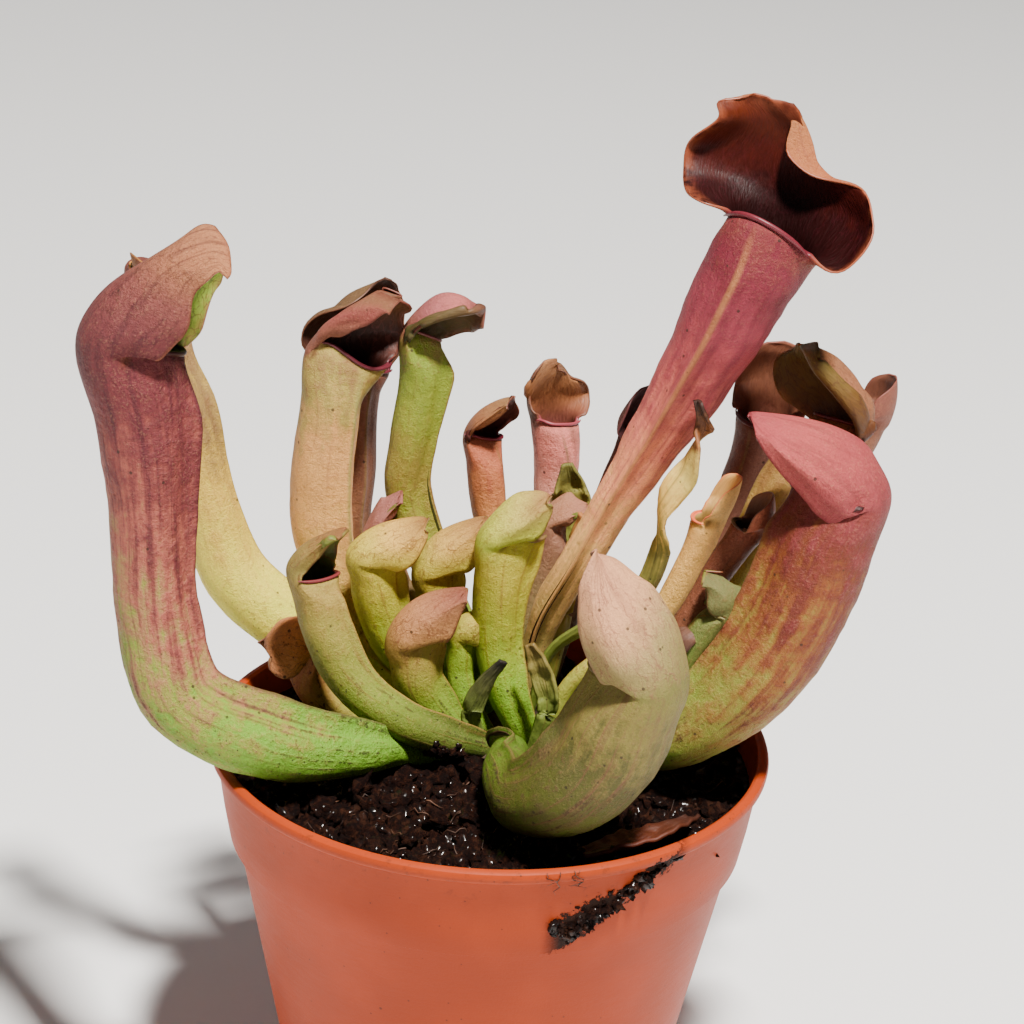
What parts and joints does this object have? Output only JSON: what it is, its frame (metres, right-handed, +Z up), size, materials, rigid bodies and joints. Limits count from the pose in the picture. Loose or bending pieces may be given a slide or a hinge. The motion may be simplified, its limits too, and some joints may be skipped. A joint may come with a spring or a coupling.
{
  "type": "potted pitcher plant",
  "caption": "Trumpet pitcher plant with long hooded pitchers arching from one crown, growing in a small round plastic nursery pot of peat.",
  "frame": {"origin": "middle of the pot's underside, on the surface it stands on", "axes": "+Z up, +X to the right of the front view, +Y away from the viewer"},
  "size_m": [0.1278, 0.09, 0.1745],
  "materials": {
    "pot_plastic": "satin",
    "peat": "rough, damp",
    "rhizome": "rough",
    "red_pitcher": "satin",
    "pale_pitcher": "satin",
    "green_pitcher": "satin",
    "brown_pitcher": "satin",
    "pink_pitcher": "satin",
    "orange_pitcher": "satin",
    "dry_leaf": "dry, matte",
    "dead_leaf": "dry, matte",
    "leaf_blade": "satin"
  },
  "bodies": {
    "root": {"crown": "rhizome", "leaf_black_tip": "leaf_blade", "leaf_blade_back": "leaf_blade", "leaf_dead_curled": "dead_leaf", "leaf_dead_twisted": "dry_leaf", "leaf_on_peat": "dead_leaf", "leaf_yellow_tip": "leaf_blade", "leaf_young_centre": "leaf_blade", "peat": "peat", "pitcher_back_brown": "brown_pitcher", "pitcher_back_green": "green_pitcher", "pitcher_back_small": "brown_pitcher", "pitcher_back_tall": "pale_pitcher", "pitcher_centre_back": "green_pitcher", "pitcher_centre_left": "green_pitcher", "pitcher_centre_tall": "green_pitcher", "pitcher_curved": "green_pitcher", "pitcher_dry": "dry_leaf", "pitcher_far_right": "brown_pitcher", "pitcher_front": "green_pitcher", "pitcher_green_bud": "green_pitcher", "pitcher_left_arching": "red_pitcher", "pitcher_left_pale": "pale_pitcher", "pitcher_low_left": "green_pitcher", "pitcher_low_small": "green_pitcher", "pitcher_middle_back": "brown_pitcher", "pitcher_orange": "orange_pitcher", "pitcher_pink_back": "pink_pitcher", "pitcher_pink_young": "pink_pitcher", "pitcher_red_cap": "red_pitcher", "pitcher_red_hidden": "red_pitcher", "pitcher_red_tall": "red_pitcher", "pitcher_right_back": "brown_pitcher", "pitcher_right_large": "red_pitcher", "pitcher_right_pink": "pink_pitcher", "pot": "pot_plastic"}
  },
  "joints": []
}
